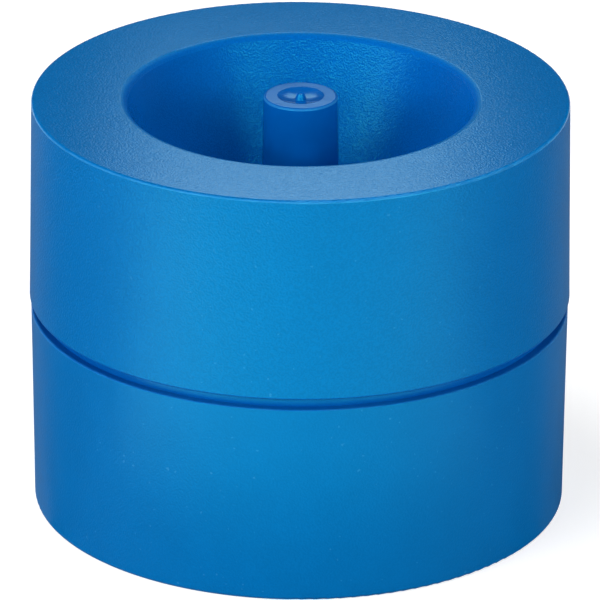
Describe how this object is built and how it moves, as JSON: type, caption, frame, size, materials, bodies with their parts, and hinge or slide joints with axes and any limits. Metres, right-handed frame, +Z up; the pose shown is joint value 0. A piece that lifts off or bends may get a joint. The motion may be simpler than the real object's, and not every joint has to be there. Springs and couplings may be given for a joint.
{
  "type": "magnetic paper clip holder",
  "caption": "Round desk holder for paper clips: a lift-off lid with a funnel bowl and a hollow post round a rod magnet, over a storage cup for spare clips.",
  "frame": {"origin": "centre of the cup's standing rim, on the desk", "axes": "+Z up along the common axis of the cup, lid, post and magnet; the picture looks along +Y"},
  "size_m": [0.073, 0.073, 0.0581],
  "materials": {
    "grained_plastic": "blue moulded plastic with a fine spark-eroded grain",
    "smooth_plastic": "the same blue plastic from a smooth mould, satin",
    "magnet_ferrite": "dark grey sintered ferrite"
  },
  "bodies": {
    "base": {"base_cup": "grained_plastic"},
    "lid": {"lid_shell": "grained_plastic", "magnet_post": "smooth_plastic", "bar_magnet": "magnet_ferrite", "magnet_plug": "smooth_plastic"}
  },
  "joints": [
    {"name": "lid_lift", "type": "slide", "parent": "base", "child": "lid", "axis": [0, 0, 1], "range_m": [0, 0.045]}
  ]
}
